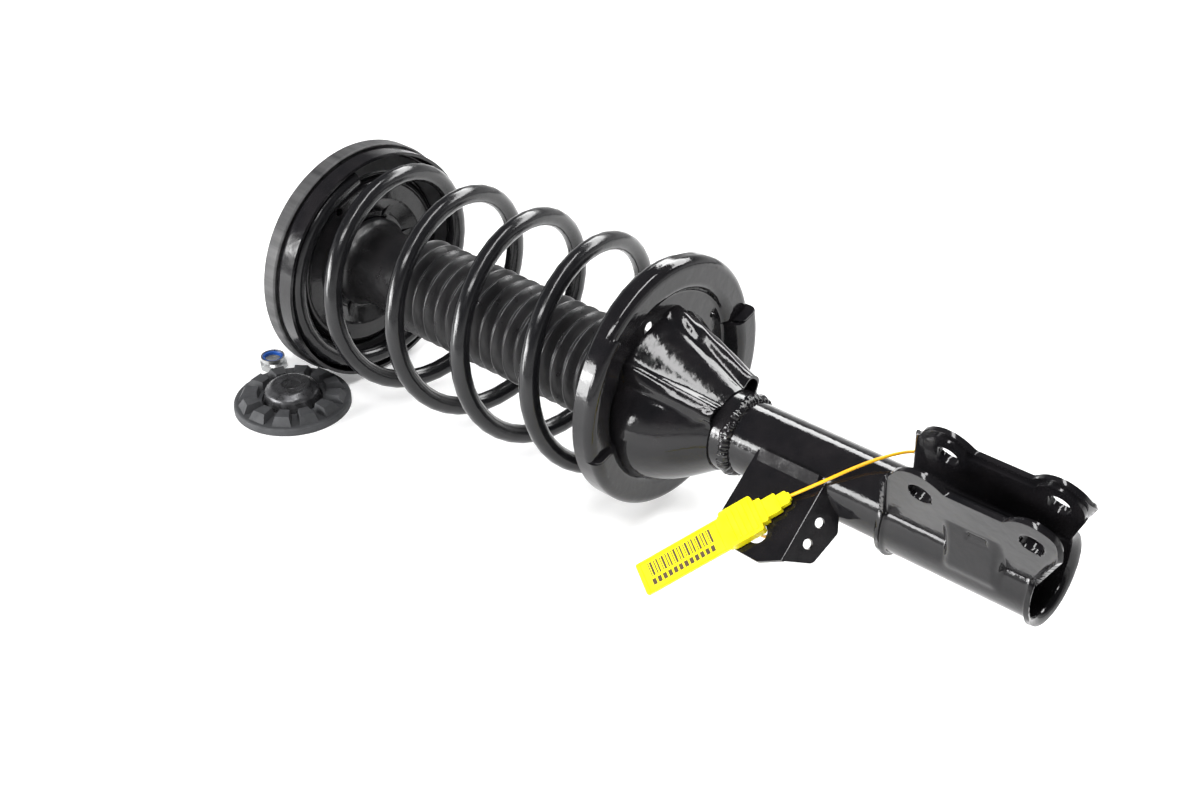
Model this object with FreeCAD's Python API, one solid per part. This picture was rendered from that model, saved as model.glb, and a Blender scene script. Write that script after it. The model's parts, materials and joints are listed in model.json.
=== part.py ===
"""Complete front strut assembly, lying on its side, with its loose rebound washer and top nut.

Millimetres. +X runs along the strut axis from the tower end to the knuckle end, +Z is up.
The origin is on the strut axis, in the plane where the top mount meets the body's tower.
"""
import FreeCAD, Part
import math
import os

V = FreeCAD.Vector
X_AXIS = V(1, 0, 0)
ORIGIN = V(0, 0, 0)

# ---- driving dimensions -------------------------------------------------
TUBE_R = 25.5              # strut tube, outside
TUBE_WALL = 2.5
TUBE_START, TUBE_END = 272.0, 634.0
ROD_R = 10.0
THREAD_R = 7.0             # M14 rod thread
THREAD_START, THREAD_END = -38.0, -2.0
NECK_R = 7.6               # plain neck between the thread and the shoulder
SHOULDER = 6.0             # rod's shoulder, under the mount's sleeve

MOUNT_R = 94.5             # rubber rim of the top mount, which the strut lies on
RIM_START, RIM_END = 27.0, 42.0
PLATE_END = 29.5           # pressed plate under the mount's rubber
UPPER_FLOOR = 41.0         # spring side of the upper seat's channel
UPPER_RIM_END = 57.0
PAD = 2.0                  # rubber spring pads
SEAT_HOLES = (118, 238, 358)          # drain holes in the upper seat's land

SEAT_X = 334.0             # rim edge of the lower seat
SEAT_R = 90.5
SEAT_SHEET = 2.6
SEAT_Y, SEAT_Z = 8.0, 9.0  # side-load offset of the lower seat from the strut axis
SEAT_DEPTHS = ((15, 136, 12.0), (136, 195, 16.0), (195, 375, 20.0))   # helical ramp

WIRE_R = 7.0
SPRING_R = 80.0
SPRING_PITCH = 64.85
SPRING_FIRST_TURN, SPRING_LAST_TURN = 0.1, 5.86
TURN_ZERO = math.radians(63.8)       # where each turn is counted from

CLAMP_TURN = math.radians(24.0)      # knuckle ears, turned about the strut axis
CLAMP_START, CLAMP_END = 541.0, 646.0
EAR_INNER, EAR_OUTER = 15.0, 18.2
BOLT_X = (573.7, 647.5)
BOLT_H = 63.7
BOLT_R = 8.1
LINER_INNER = 12.0

HOSE_TURN = math.radians(40.0)       # brake hose bracket, below the horizontal
HOSE_SHEET = 3.0

FLOOR = -MOUNT_R
WASHER_AT = V(40.2, -87.4, FLOOR)
NUT_AT = V(-14.0, -62.0, FLOOR)
EAR_LOBE = 19.5             # ear radius round each bolt hole
EAR_VALLEY = 10.3           # height of the ears between the bolts, above the bolts


# ---- small helpers ------------------------------------------------------
def save(name, shape):
    """Write one node, cleaned of seams where that keeps it valid."""
    try:
        clean = shape.removeSplitter()
        if clean.isValid() and len(clean.Solids) == len(shape.Solids):
            shape = clean
    except Part.OCCError:
        print(name, "keeps its seams")
    if not shape.isValid() or not shape.Solids:
        raise ValueError(name + " is not a valid solid")
    shape.exportStep("parts/" + name + ".step")
    print("%-24s solids %3d  volume %10.0f" % (name, len(shape.Solids), shape.Volume))
    return shape


def polar(radius, degrees, x=0.0, y=0.0, z=0.0):
    a = math.radians(degrees)
    return V(x, y + radius * math.cos(a), z + radius * math.sin(a))


def rounded_wire(points, radii, place):
    """Closed wire through 2D points with their corners rounded; place maps (a, b) to space."""
    count = len(points)
    ends = []
    for i, (point, radius) in enumerate(zip(points, radii)):
        p = V(point[0], point[1], 0)
        before = V(*points[i - 1], 0) - p
        after = V(*points[(i + 1) % count], 0) - p
        if radius <= 0:
            ends.append((p, None, p))
            continue
        before.normalize()
        after.normalize()
        half = before.getAngle(after) / 2
        cut = radius / math.tan(half)
        middle = before + after
        middle.normalize()
        centre = p + middle * (radius / math.sin(half))
        ends.append((p + before * cut, centre - middle * radius, p + after * cut))
    edges = []
    for i, (start, arc, end) in enumerate(ends):
        if arc is not None:
            edges.append(Part.Arc(place(start), place(arc), place(end)).toShape())
        following = ends[(i + 1) % count][0]
        if (following - end).Length > 1e-6:
            edges.append(Part.LineSegment(place(end), place(following)).toShape())
    return Part.Wire(edges)


def turned(profile, radii=None, start=0.0, sweep=360.0, y=0.0, z=0.0):
    """Turn a closed (x, r) profile about the strut axis, or about a parallel one."""
    radii = radii or [0] * len(profile)
    face = Part.Face(rounded_wire(profile, radii, lambda p: V(p.x, p.y, 0)))
    solid = face.revolve(ORIGIN, X_AXIS, sweep)
    solid.rotate(ORIGIN, X_AXIS, start)
    solid.translate(V(0, y, z))
    return solid


def sheet(line, bends, thickness):
    """Outline of constant-thickness sheet about a bent centreline: its points and corner radii."""
    sides = ([], [])
    corner = ([], [])
    half = thickness / 2
    last = len(line) - 1
    for i, (x, r) in enumerate(line):
        into = V(*line[i], 0) - V(*line[max(i - 1, 0)], 0)
        out = V(*line[min(i + 1, last)], 0) - V(*line[i], 0)
        into = out if i == 0 else into
        out = into if i == last else out
        into.normalize()
        out.normalize()
        normal = V(-into.y - out.y, into.x + out.x, 0)
        normal.normalize()
        reach = half / max(0.2, normal.dot(V(-into.y, into.x, 0)))
        turn = into.cross(out).z
        for side, sign in ((0, 1), (1, -1)):
            sides[side].append((x + normal.x * reach * sign, r + normal.y * reach * sign))
            inside = turn * sign > 0
            bend = bends[i] + (-half if inside else half) if bends[i] else 0
            corner[side].append(max(bend, 0))
    return sides[0] + sides[1][::-1], corner[0] + corner[1][::-1]


def rod(radius, start, end, y=0.0, z=0.0):
    return Part.makeCylinder(radius, end - start, V(start, y, z), X_AXIS)


def tube(outer, inner, start, end, y=0.0, z=0.0):
    return rod(outer, start, end, y, z).cut(rod(inner, start - 1, end + 1, y, z))


def bar(radius, start, end):
    """Round bar between two points in space."""
    way = end - start
    return Part.makeCylinder(radius, way.Length, start, way)


def extruded(points, radii, place, way):
    return Part.Face(rounded_wire(points, radii, place)).extrude(way)


def fuse(shapes):
    joined = shapes[0]
    for other in shapes[1:]:
        joined = joined.fuse(other)
    return joined


def hexagon(across, start, length, axis_hole, centre=ORIGIN, way=X_AXIS):
    """Hexagon bar with a hole and turned-down corners, along way from centre."""
    corner = across / math.sqrt(3)
    points = [polar(corner, 60 * i) for i in range(7)]
    body = Part.Face(Part.makePolygon(points)).extrude(V(length, 0, 0))
    chamfer = 0.12 * across
    cone = Part.makeCone(corner - chamfer, corner + length * 1.2, length * 1.2 + chamfer, ORIGIN, X_AXIS)
    back = Part.makeCone(corner + length * 1.2, corner - chamfer, length * 1.2 + chamfer,
                         V(-0.2 * length - chamfer, 0, 0), X_AXIS)
    body = body.common(cone).common(back).cut(rod(axis_hole, -1, length + 1))
    body.translate(V(start, 0, 0))
    body.Placement = FreeCAD.Placement(centre, FreeCAD.Rotation(X_AXIS, way)).multiply(body.Placement)
    return body


# ---- strut tube and damper ---------------------------------------------
BORE_R = TUBE_R - TUBE_WALL


def strut_tube():
    return turned([(TUBE_START, BORE_R), (TUBE_START, TUBE_R), (TUBE_END, TUBE_R), (TUBE_END, BORE_R)],
                  [0, 1.2, 1.0, 0])


def base_cap():
    return turned([(TUBE_END - 8, 0), (TUBE_END - 8, 12), (TUBE_END - 13, BORE_R), (TUBE_END - 2, BORE_R),
                   (TUBE_END - 4, 12), (TUBE_END - 4, 0)], [0, 6, 0, 0, 6, 0])


PRESSURE_R, PISTON_R = 16.6, 15.0
PRESSURE_START, PRESSURE_END = 292.0, 608.0


def base_valve():
    """Foot valve pressed into the pressure tube, standing on the base cap's rim."""
    body = fuse([rod(PISTON_R, PRESSURE_END - 8, PRESSURE_END),
                 rod(20.0, PRESSURE_END, PRESSURE_END + 7)])
    body = body.cut(rod(3.0, PRESSURE_END - 9, PRESSURE_END + 8))
    for i in range(6):
        port = polar(8.5, 60 * i, PRESSURE_END - 9)
        body = body.cut(Part.makeCylinder(1.8, 20, port, X_AXIS))
    return body


def valve_shims(start, count, outer, inner):
    """A stack of thin discs, each a little smaller than the one before."""
    step = 0.5
    return Part.makeCompound([tube(outer - 1.1 * i, inner, start + step * i, start + step * i + 0.4)
                              for i in range(count)])


def rod_guide():
    return turned([(278, 13.0), (278, BORE_R), (292, BORE_R), (292, PISTON_R), (299, PISTON_R), (299, 13.0)],
                  [0, 1, 0, 0, 0.8, 0])


def rod_seal():
    return turned([(272.5, ROD_R + 0.06), (272.5, BORE_R), (278, BORE_R), (278, ROD_R + 2.5),
                   (276.5, ROD_R + 0.06)], [0.8, 0.6, 0, 0, 0])


def strike_cap():
    """Pressed cap on the tube's mouth that the bump stop lands on."""
    points, radii = sheet([(296, TUBE_R + 1), (268.7, TUBE_R + 1), (268.7, 14)], [0, 3, 0], 2)
    cap = turned(points, radii)
    for i in range(4):
        cap = cap.cut(Part.makeCylinder(2, 6, polar(19, 45 + 90 * i, 266), X_AXIS))
    return cap


PISTON_X = 346.0


def piston_rod():
    steps = [(THREAD_START, 0), (THREAD_START, 5.8), (THREAD_START + 1.5, THREAD_R), (THREAD_END, THREAD_R),
             (THREAD_END, NECK_R), (SHOULDER, NECK_R), (SHOULDER, ROD_R), (PISTON_X - 12, ROD_R),
             (PISTON_X - 12, 6.0), (PISTON_X + 26, 6.0), (PISTON_X + 26, 0)]
    body = turned(steps)
    for i in range(16):
        groove = turned([(THREAD_START + 3 + 2 * i, THREAD_R + 1), (THREAD_START + 4.6 + 2 * i, THREAD_R + 1),
                         (THREAD_START + 3.8 + 2 * i, THREAD_R - 0.9)])
        body = body.cut(groove)
    drive = Part.makeCylinder(3.0, 9, V(THREAD_START - 1, 0, 0), X_AXIS)
    return body.cut(drive)


def piston():
    body = tube(PISTON_R - 0.6, 6.0, PISTON_X, PISTON_X + 14)
    body = body.cut(tube(PISTON_R + 1, PISTON_R - 2.0, PISTON_X + 3, PISTON_X + 11))
    for i in range(8):
        body = body.cut(Part.makeCylinder(1.5, 20, polar(9.5, 45 * i, PISTON_X - 2), X_AXIS))
    return body


# ---- top mount ----------------------------------------------------------
def mount_insulator():
    """Rubber moulding: a low dome that fills the tower and a rim that the spring seat hides in."""
    lip = MOUNT_R - 2
    profile = [(0, 24), (0, 58), (4, 68), (14, 75), (22.5, 78), (25.5, MOUNT_R - 3.5), (29.5, MOUNT_R),
               (RIM_END - 2, MOUNT_R), (RIM_END, lip), (37.8, lip), (37.8, 87), (PLATE_END, 82),
               (PLATE_END, 78), (27, 78), (27, 24)]
    body = turned(profile, [2, 5, 6, 8, 2.5, 4, 3, 1, 0.6, 0.6, 1, 3, 2, 0, 0])
    body = body.cut(locating_pin())
    for i in range(36):
        notch = Part.makeCylinder(1.4, 19, polar(66.4, 10 * i, 1), polar(10.5, 10 * i, 16))
        body = body.cut(notch)
    return body


def mount_core():
    """Steel sleeve with a flange, bonded in the rubber, clamped on the rod's shoulder."""
    hole = NECK_R + 0.05
    return turned([(-1, hole), (-1, 16), (3, 16), (3, 24), (27, 24), (27, 18), (SHOULDER, ROD_R + 6),
                   (SHOULDER, hole)], [0, 1, 0, 0, 0, 0, 0, 0])


def mount_plate():
    """Pressed plate bonded under the rubber, which carries the bearing."""
    return tube(78, 18.5, 27, PLATE_END)


def locating_pin():
    """Stud that keys the mount in the tower."""
    foot = polar(86.5, 205, RIM_START)
    pin = turned([(-9, 0), (-9, 2.2), (-7, 3), (0.6, 3), (0.6, 6), (3, 6), (3, 0)])
    pin.translate(V(RIM_START - 1.5, foot.y, foot.z))
    return pin


BEARING_R = 38.0
BALL_R = 2.4


def bearing_race(upper):
    """Half of the strut bearing: a flat pressed ring with a ball track."""
    start, end = (PLATE_END, 31.9) if upper else (35.6, 39.5)
    ring = tube(BEARING_R + 7, BEARING_R - 7, start, end)
    track = Part.makeTorus(BEARING_R, BALL_R + 0.08, V(33.75, 0, 0), X_AXIS)
    return ring.cut(track)


def bearing_balls(count):
    balls = [Part.makeSphere(BALL_R, polar(BEARING_R, 360.0 * i / count, 33.75)) for i in range(count)]
    return Part.makeCompound(balls)


def bearing_cage(count):
    ring = tube(BEARING_R + 4, BEARING_R - 4, 33.1, 34.4)
    for i in range(count):
        at = polar(BEARING_R, 360.0 * i / count, 30)
        ring = ring.cut(Part.makeCylinder(BALL_R + 0.25, 8, at, X_AXIS))
    return ring


def upper_spring_seat():
    """Pressed seat: spring channel, raised inner land, and a ribbed cone down to the bearing."""
    half = 1.25
    floor = UPPER_FLOOR - half
    line = [(UPPER_RIM_END, 90.6), (floor, 90.6), (floor, 69), (floor + 7, 66), (floor + 7, 52),
            (floor + 1, 40), (floor + 1, 20)]
    points, radii = sheet(line, [0, 5, 4, 4, 4, 4, 0], 2 * half)
    seat = turned(points, radii)
    for i in range(8):
        angle = 45 * i + 12
        rib = extruded([(floor + 1.2, 30), (floor + 7.6, 53), (floor + 6.8, 56), (floor + 1.2, 42)],
                       [0] * 4, lambda p: V(p.x, p.y, -2.5), V(0, 0, 5))
        rib.rotate(ORIGIN, X_AXIS, angle)
        seat = seat.fuse(rib)
    for angle in SEAT_HOLES:
        seat = seat.cut(Part.makeCylinder(3.2, 20, polar(62, angle, floor), X_AXIS))
    return seat


def upper_spring_pad():
    return turned([(UPPER_FLOOR, 73), (UPPER_FLOOR, 85), (UPPER_FLOOR + PAD, 86.5), (UPPER_FLOOR + PAD, 73)],
                  [0, 0, 0.8, 0.8])


# ---- spring, boot and bump stop ----------------------------------------
def eased(turn, start, width):
    """Integral of a ramp from 0 to 1 that starts at start and takes width turns."""
    u = min(max((turn - start) / width, 0.0), 1.0)
    return width * u * u / 2 + max(turn - start - width, 0.0)


def spring_x(turn):
    """Place along X of the wire's centre: closed ends, even pitch between."""
    upper_end, lower_end = 2.0, 14.0
    active = SEAT_X - 327.6 + SPRING_PITCH * turn
    lower = (SPRING_PITCH - lower_end) * eased(turn, 4.7, 0.6)
    upper = (SPRING_PITCH - upper_end) * eased(-turn, -0.95, 0.5)
    return active - lower + upper


def spring_point(turn):
    x = spring_x(turn)
    share = (x - UPPER_RIM_END) / (SEAT_X - UPPER_RIM_END)
    a = TURN_ZERO + 2 * math.pi * turn
    return V(x, SEAT_Y * share + SPRING_R * math.cos(a), SEAT_Z * share + SPRING_R * math.sin(a))


def coil_spring():
    steps = int((SPRING_LAST_TURN - SPRING_FIRST_TURN) * 16)
    span = (SPRING_LAST_TURN - SPRING_FIRST_TURN) / steps
    points = [spring_point(SPRING_FIRST_TURN + span * i) for i in range(steps + 1)]
    curve = Part.BSplineCurve()
    curve.interpolate(points)
    path = Part.Wire(curve.toShape())
    start = curve.tangent(curve.FirstParameter)[0]
    ring = Part.Wire(Part.makeCircle(WIRE_R, points[0], start))
    return path.makePipeShell([ring], True, True)


BOOT_FOLDS = 19
BOOT_FIRST, BOOT_LAST = 103.0, 325.0


def dust_boot():
    """Flared collar, smooth neck, then sharp-crested folds, as one thin skin."""
    skin = 1.6
    outer = [(43.6, 35.2), (48, 35.4), (51, 33), (58, 30.5), (BOOT_FIRST - 4, 30)]
    pitch = (BOOT_LAST - BOOT_FIRST) / BOOT_FOLDS
    for i in range(BOOT_FOLDS):
        x = BOOT_FIRST + pitch * i
        outer.append((x, 31.5))
        outer.append((x + pitch / 2, 37.5))
    outer.append((BOOT_LAST, 31.5))
    outer.append((BOOT_LAST + 6, 31.5))
    inner = [(x, r - skin) for x, r in reversed(outer)]
    return turned(outer + inner)


def bump_stop():
    """Foam stop with waisted grooves, on the rod just under the mount."""
    outline = [(45, ROD_R), (45, 24), (58, 25), (64, 20), (70, 24), (82, 24), (88, 18.5), (94, 22), (106, 21),
               (111, 17), (122, 17), (134, 15), (134, ROD_R)]
    return turned(outline, [1, 2, 5, 3, 5, 5, 3, 5, 5, 3, 5, 2, 1])


# ---- lower seat ---------------------------------------------------------
def seat_line(depth):
    """Sheet centreline from the rim through the spring channel to the inner land."""
    x = SEAT_X
    rim = SEAT_R - SEAT_SHEET / 2
    return [(x, rim), (x + depth - SEAT_SHEET / 2, rim), (x + depth - SEAT_SHEET / 2, 70),
            (x + 4.5, 66), (x + 4.5, 45)]


def channel_section(depth):
    return sheet(seat_line(depth), [0, 5.5, 5.5, 4, 0], SEAT_SHEET)


def lower_spring_seat():
    parts = []
    for start, end, depth in SEAT_DEPTHS:
        points, radii = channel_section(depth)
        parts.append(turned(points, radii, start, end - start, SEAT_Y, SEAT_Z))
    for angle, shallow, deep in ((135, 12, 16), (194, 16, 20), (14, 12, 20)):
        low, high = SEAT_X + shallow - 2.4, SEAT_X + deep - 0.2
        wall = [(low, 70.5), (low, SEAT_R - 1.5), (high, SEAT_R - 1.5), (high, 72.5)]
        parts.append(turned(wall, [0, 0, 5, 5], angle, 2, SEAT_Y, SEAT_Z))
    seat = fuse(parts)
    for radius, angle, hole in ((52, 111, 5.2), (59, 30, 2.6), (55, 262, 5.2)):
        at = polar(radius, angle, SEAT_X - 2, SEAT_Y, SEAT_Z)
        seat = seat.cut(Part.makeCylinder(hole, 14, at, X_AXIS))
    return seat


def lower_spring_pad():
    parts = []
    for start, end, depth in SEAT_DEPTHS[1:]:
        floor = SEAT_X + depth - SEAT_SHEET
        section = [(floor - PAD, 75), (floor - PAD, 84.5), (floor, 83.5), (floor, 76)]
        parts.append(turned(section, [0.6, 0.6, 0, 0], start + 2, end - start - 6, SEAT_Y, SEAT_Z))
    return Part.makeCompound(parts)


SUPPORT_START, SUPPORT_MOUTH, SUPPORT_END = SEAT_X + 5.8, SEAT_X + 72, SEAT_X + 82
SUPPORT_SHEET = 2.5
COLLAR_R = 28.4


def between(share, first, last):
    return first + (last - first) * share


def circle_reach(cy, cz, radius, angle):
    """Distance from the strut axis to a circle that goes round it, along one direction."""
    along = cy * math.cos(angle) + cz * math.sin(angle)
    return along + math.sqrt(radius ** 2 - cy ** 2 - cz ** 2 + along ** 2)


def support_reach(x, angle):
    """Outer radius of the pressed support: a cone, a deep lobe below and two ribs above."""
    share = (x - SUPPORT_START) / (SUPPORT_MOUTH - SUPPORT_START)
    waist = math.sin(math.pi * min(max(share, 0), 1))
    cone = circle_reach(between(share, 6, 0), between(share, 7, 0), between(share, 53, COLLAR_R), angle)
    lobe_turn = math.radians(212)
    shift = between(share ** 1.6, 17, 0) + 1.5 * waist
    size = between(share ** 1.5, 42, COLLAR_R - 0.2) + 2 * waist
    lobe = circle_reach(shift * math.cos(lobe_turn), shift * math.sin(lobe_turn), size, angle)
    reach = (cone ** 16 + lobe ** 16) ** (1 / 16)
    for from_turn, to_turn, from_high, to_high, width in ((75, 54, 5, 9.5, 7.5), (133, 135, 4, 5.5, 6.5)):
        turn = math.radians(between(share, from_turn, to_turn))
        off = math.atan2(math.sin(angle - turn), math.cos(angle - turn)) * reach / width
        reach += between(share, from_high, to_high) * math.exp(-off ** 4)
    return reach


def support_loft(inset, start, end):
    """Solid through nine sections of the support, drawn in by inset."""
    sections = []
    for i in range(9):
        x = between(i / 8, SUPPORT_START, SUPPORT_MOUTH)
        place = between(i / 8, start, end)
        points = []
        for k in range(72):
            angle = 2 * math.pi * k / 72
            reach = support_reach(x, angle) - inset
            points.append(V(place, reach * math.cos(angle), reach * math.sin(angle)))
        curve = Part.BSplineCurve()
        curve.interpolate(Points=points, PeriodicFlag=True)
        sections.append(Part.Wire(curve.toShape()))
    return Part.makeLoft(sections, True)


def seat_support():
    """Pressed pyramid between the seat and the tube, whose upper rib ends in an open mouth."""
    shell = support_loft(0, SUPPORT_START, SUPPORT_MOUTH)
    hollow = support_loft(SUPPORT_SHEET, SUPPORT_START - 1, SUPPORT_MOUTH + 1)
    collar = rod(COLLAR_R, SUPPORT_MOUTH - 8, SUPPORT_END)
    shell = shell.cut(hollow).fuse(collar)
    return shell.cut(rod(TUBE_R, SEAT_X - 10, SUPPORT_END + 10))


def seat_weld():
    """Weld bead between the support's collar and the tube."""
    bead = turned([(SUPPORT_END, TUBE_R), (SUPPORT_END, COLLAR_R), (SUPPORT_END + 4.5, TUBE_R)], [0, 0.8, 0])
    return bead


# ---- knuckle clamp ------------------------------------------------------
N_WAY = V(0, math.cos(CLAMP_TURN), math.sin(CLAMP_TURN))
H_WAY = V(0, -math.sin(CLAMP_TURN), math.cos(CLAMP_TURN))


def clamp_point(x, across, height):
    return X_AXIS * x + N_WAY * across + H_WAY * height


def clamp_section(outer_r, ear_out, inner_r, ear_in, top, start, end):
    """Omega section round the tube: a wrap with two parallel ears, extruded along the strut."""
    rise_out = math.sqrt(outer_r ** 2 - ear_out ** 2)
    rise_in = math.sqrt(inner_r ** 2 - ear_in ** 2)

    def at(across, height):
        return clamp_point(start, across, height)

    edges = [Part.LineSegment(at(ear_out, top), at(ear_out, rise_out)).toShape(),
             Part.Arc(at(ear_out, rise_out), at(0, -outer_r), at(-ear_out, rise_out)).toShape(),
             Part.LineSegment(at(-ear_out, rise_out), at(-ear_out, top)).toShape(),
             Part.LineSegment(at(-ear_out, top), at(-ear_in, top)).toShape(),
             Part.LineSegment(at(-ear_in, top), at(-ear_in, rise_in)).toShape(),
             Part.Arc(at(-ear_in, rise_in), at(0, -inner_r), at(ear_in, rise_in)).toShape(),
             Part.LineSegment(at(ear_in, rise_in), at(ear_in, top)).toShape(),
             Part.LineSegment(at(ear_in, top), at(ear_out, top)).toShape()]
    return Part.Face(Part.Wire(edges)).extrude(X_AXIS * (end - start))


def side_view(points, radii):
    """Extrude an (x, height) outline right across the clamp."""
    return extruded(points, radii, lambda p: clamp_point(p.x, -60, p.y), N_WAY * 120)


def across_rod(radius, x, height, low, high):
    return Part.makeCylinder(radius, high - low, clamp_point(x, low, height), N_WAY)


def bolt_holes(shape):
    for x in BOLT_X:
        shape = shape.cut(across_rod(BOLT_R, x, BOLT_H, -60, 60))
    return shape


def knuckle_bracket():
    """C-shaped clamp pressed round the tube, with two scalloped ears and turned-out ends."""
    section = clamp_section(TUBE_R + 3.2, EAR_OUTER, TUBE_R, EAR_INNER, 100, CLAMP_START - 20, 700)
    first, second = BOLT_X
    left, right = first - EAR_LOBE - 5, second + EAR_LOBE
    valley = BOLT_H + EAR_VALLEY
    web = side_view([(CLAMP_START, -60), (CLAMP_START, 18), (left, BOLT_H), (left + 6, valley), (first, valley),
                     (second, valley), (right, BOLT_H), (CLAMP_END + 2, 18), (CLAMP_END, -60)],
                    [0, 0, 2, 4, 0, 0, 0, 6, 0])
    lobes = [across_rod(EAR_LOBE, x, BOLT_H, -60, 60) for x in BOLT_X]
    body = section.common(fuse([web] + lobes))
    flare = 3.2
    ends = []
    for start in (CLAMP_START - flare + 1, CLAMP_END - 1):
        ends.append(clamp_section(TUBE_R + 7.5, EAR_OUTER + 4.3, TUBE_R, EAR_INNER, 26, start, start + flare))
    edges = (((CLAMP_START, 20), (left, BOLT_H)), ((CLAMP_END + 2, 20), (right, BOLT_H - 4)))
    for (x0, h0), (x1, h1) in edges:
        toe = 3.0 if x0 < first else -3.0
        for side in (-1, 1):
            strip = extruded([(x0, h0), (x1, h1), (x1 + toe, h1), (x0 + toe, h0)], [0] * 4,
                             lambda p, s=side: clamp_point(p.x, s * (EAR_OUTER - 0.5), p.y),
                             N_WAY * (side * 4.8))
            ends.append(strip)
    boss = extruded([(16, 48), (21.0, 45), (25.5, 14), (16, 14)], [0, 2, 4, 0],
                    lambda p: clamp_point(BOLT_X[0] + 15, -p.x, p.y), X_AXIS * 40)
    body = fuse([body] + ends + [boss]).cut(rod(TUBE_R, CLAMP_START - 30, 720))
    slot = extruded([(0, 0), (13, 0), (13, 4.5), (0, 4.5)], [1.5] * 4,
                    lambda p: clamp_point(BOLT_X[0] + 28 + p.x, -23.5, 36 + p.y), N_WAY * 3.4)
    return bolt_holes(body.cut(slot))


def knuckle_liner():
    """Inner reinforcement: a U plate whose arms back the ears up and whose web lies on the tube."""
    arm = LINER_INNER
    web = 27.0
    start, end = CLAMP_START + 16, 668.0
    outline = [(EAR_INNER, 100), (EAR_INNER, web - 1), (-EAR_INNER, web - 1), (-EAR_INNER, 100),
               (-arm, 100), (-arm, web + 3), (arm, web + 3), (arm, 100)]
    section = extruded(outline, [0, 4, 4, 0, 0, 2, 2, 0], lambda p: clamp_point(start, p.x, p.y),
                       X_AXIS * (end - start))
    lobe = EAR_LOBE - 3
    first, second = BOLT_X
    top = BOLT_H + EAR_VALLEY - 3.5
    side = side_view([(start + 2, 24), (first - lobe, BOLT_H - 3), (first - 8, top), (second + 8, top),
                      (second + lobe, BOLT_H - 6), (end - 18, 24)], [0] * 6)
    lobes = [across_rod(lobe, x, BOLT_H, -60, 60) for x in BOLT_X]
    body = section.common(fuse([side] + lobes)).cut(rod(TUBE_R + 3.3, CLAMP_START - 30, 720))
    return bolt_holes(body)


# ---- brake hose bracket -------------------------------------------------
E_WAY = V(0, -math.cos(HOSE_TURN), -math.sin(HOSE_TURN))
M_WAY = V(0, -math.sin(HOSE_TURN), math.cos(HOSE_TURN))
HOSE_ROOT = V(SEAT_X, -24, 9)
FOLD_X = 162.0
FOLD_TURN = math.radians(50)


def hose_point(x, out, above=0.0):
    """A point by its distance past the seat, out from the tube and above the bracket plate."""
    return HOSE_ROOT + X_AXIS * x + E_WAY * out + M_WAY * above


def hose_plate_outline():
    return [(109, -6), (108, 46), (130, 62), (148, 62.5), (FOLD_X, 55), (FOLD_X, -8)]


def brake_hose_bracket():
    """Welded plate with one big hole and a turned-back flange with two small ones."""
    half = HOSE_SHEET / 2
    plate = extruded(hose_plate_outline(), [0, 5, 4, 5, 0, 0], lambda p: hose_point(p.x, p.y, -half),
                     M_WAY * HOSE_SHEET)
    plate = plate.cut(Part.makeCylinder(7.0, 12, hose_point(138, 46, -6), M_WAY))
    away = X_AXIS * math.cos(FOLD_TURN) - M_WAY * math.sin(FOLD_TURN)
    face_way = X_AXIS * math.sin(FOLD_TURN) + M_WAY * math.cos(FOLD_TURN)

    def on_flange(p):
        return hose_point(FOLD_X, p.x) + away * p.y - face_way * half

    flange = extruded([(55, -0.5), (-9, -0.5), (-9, 8), (21, 24), (46, 19)], [0, 0, 1, 4, 5], on_flange,
                      face_way * HOSE_SHEET)
    for out in (21.5, 37.0):
        flange = flange.cut(Part.makeCylinder(3.4, 12, on_flange(V(out, 9.5, 0)) - face_way * 4, face_way))
    fold = Part.makeCylinder(half, 63, hose_point(FOLD_X, -8), E_WAY)
    return fuse([plate, flange, fold]).cut(rod(TUBE_R, SEAT_X + 60, SEAT_X + 240))


def hose_weld():
    """Two beads where the bracket's edge meets the tube."""
    parts = []
    for above in (1.5, -1.5):
        side = 1 if above > 0 else -1
        corner = hose_point(112, -1.0, above)
        bead = Part.Face(Part.makePolygon([corner, corner + E_WAY * 4.5, corner + M_WAY * (4.0 * side)
                                           - E_WAY * 3, corner]))
        parts.append(bead.extrude(X_AXIS * 46))
    beads = [p.cut(rod(TUBE_R, SEAT_X + 60, SEAT_X + 240)) for p in parts]
    return Part.makeCompound([max(b.Solids, key=lambda s: s.Volume) for b in beads])


# ---- seal tag and its strap --------------------------------------------
STRAP_R = 1.1
TAG_LONG = V(-0.565, 0.825, 0)       # along the flag, in the plate's own plane
TAG_WIDE = V(0.825, 0.565, 0)
TAG_HEAD = V(127.5, 45.0, 0)


def tag_point(along, wide, above):
    flat = TAG_HEAD + TAG_LONG * along + TAG_WIDE * wide
    return hose_point(flat.x, flat.y, above)


def tag_block(low, high, width, bottom, top, radius):
    outline = [(low, -width / 2), (high, -width / 2), (high, width / 2), (low, width / 2)]
    return extruded(outline, [radius] * 4, lambda p: tag_point(p.x, p.y, bottom), M_WAY * (top - bottom))


def seal_tag():
    """Plastic seal: a flat flag, a thick locking head and a stepped neck."""
    flag = tag_block(8, 76.5, 23.4, 3.2, 5.0, 1.5)
    rim = tag_block(8, 14, 24.4, 2.4, 6.0, 0.8)
    head = tag_block(-12, 12, 26.0, 2.2, 9.0, 2.0)
    step = tag_block(-17, -11, 17.0, 2.6, 8.2, 1.0)
    neck = tag_block(-27, -16, 13.0, 3.0, 7.6, 1.0)
    tip = tag_block(-34, -26, 9.0, 3.4, 7.0, 1.5)
    nib = tag_block(-35.5, -33, 5.0, 3.6, 6.8, 0.8)
    return fuse([flag, rim, head, step, neck, tip, nib])


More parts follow.
